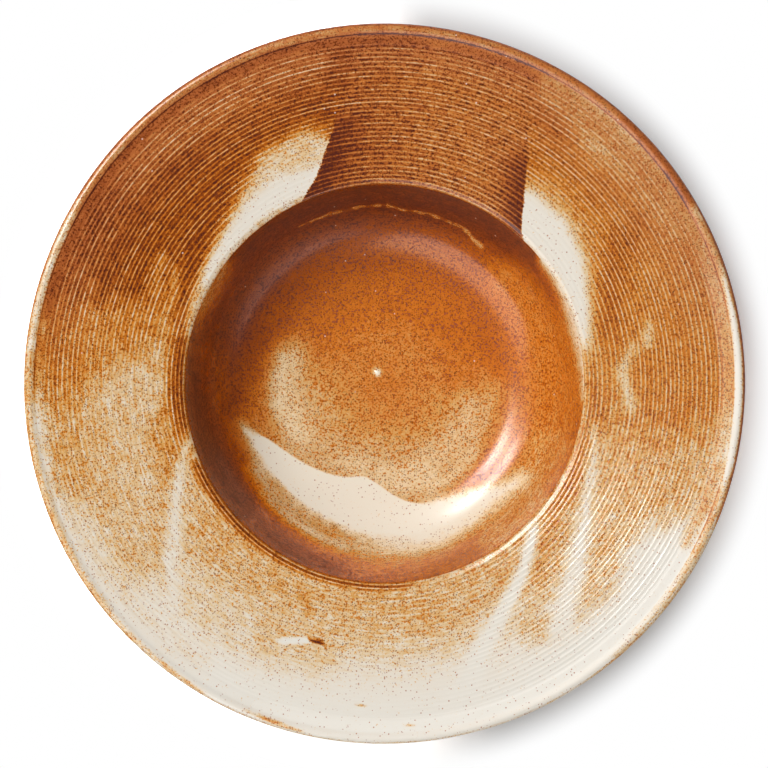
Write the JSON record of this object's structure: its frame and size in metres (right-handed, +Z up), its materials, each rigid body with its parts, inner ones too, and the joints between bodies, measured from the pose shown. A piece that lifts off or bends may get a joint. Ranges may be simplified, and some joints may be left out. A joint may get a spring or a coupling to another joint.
{
  "type": "pasta bowl",
  "caption": "Round stoneware pasta bowl with a deep central well, a wide ridged rim, a rolled lip and a foot ring, in dipped cream and rust-brown glaze.",
  "frame": {"origin": "centre of the foot ring, on the surface that the bowl stands on", "axes": "+Z up along the bowl's axis, from the foot ring to the lip"},
  "size_m": [0.285, 0.285, 0.058],
  "materials": {
    "bare_clay": "matte fired stoneware, finely speckled",
    "dipped_glaze": "glossy cream and rust-brown dipped glaze that breaks paler over the ridges",
    "base_glaze": "glossy speckled cream glaze"
  },
  "bodies": {
    "root": {"clay_body": "bare_clay", "glaze_coat": "dipped_glaze", "base_glaze": "base_glaze"}
  },
  "joints": []
}
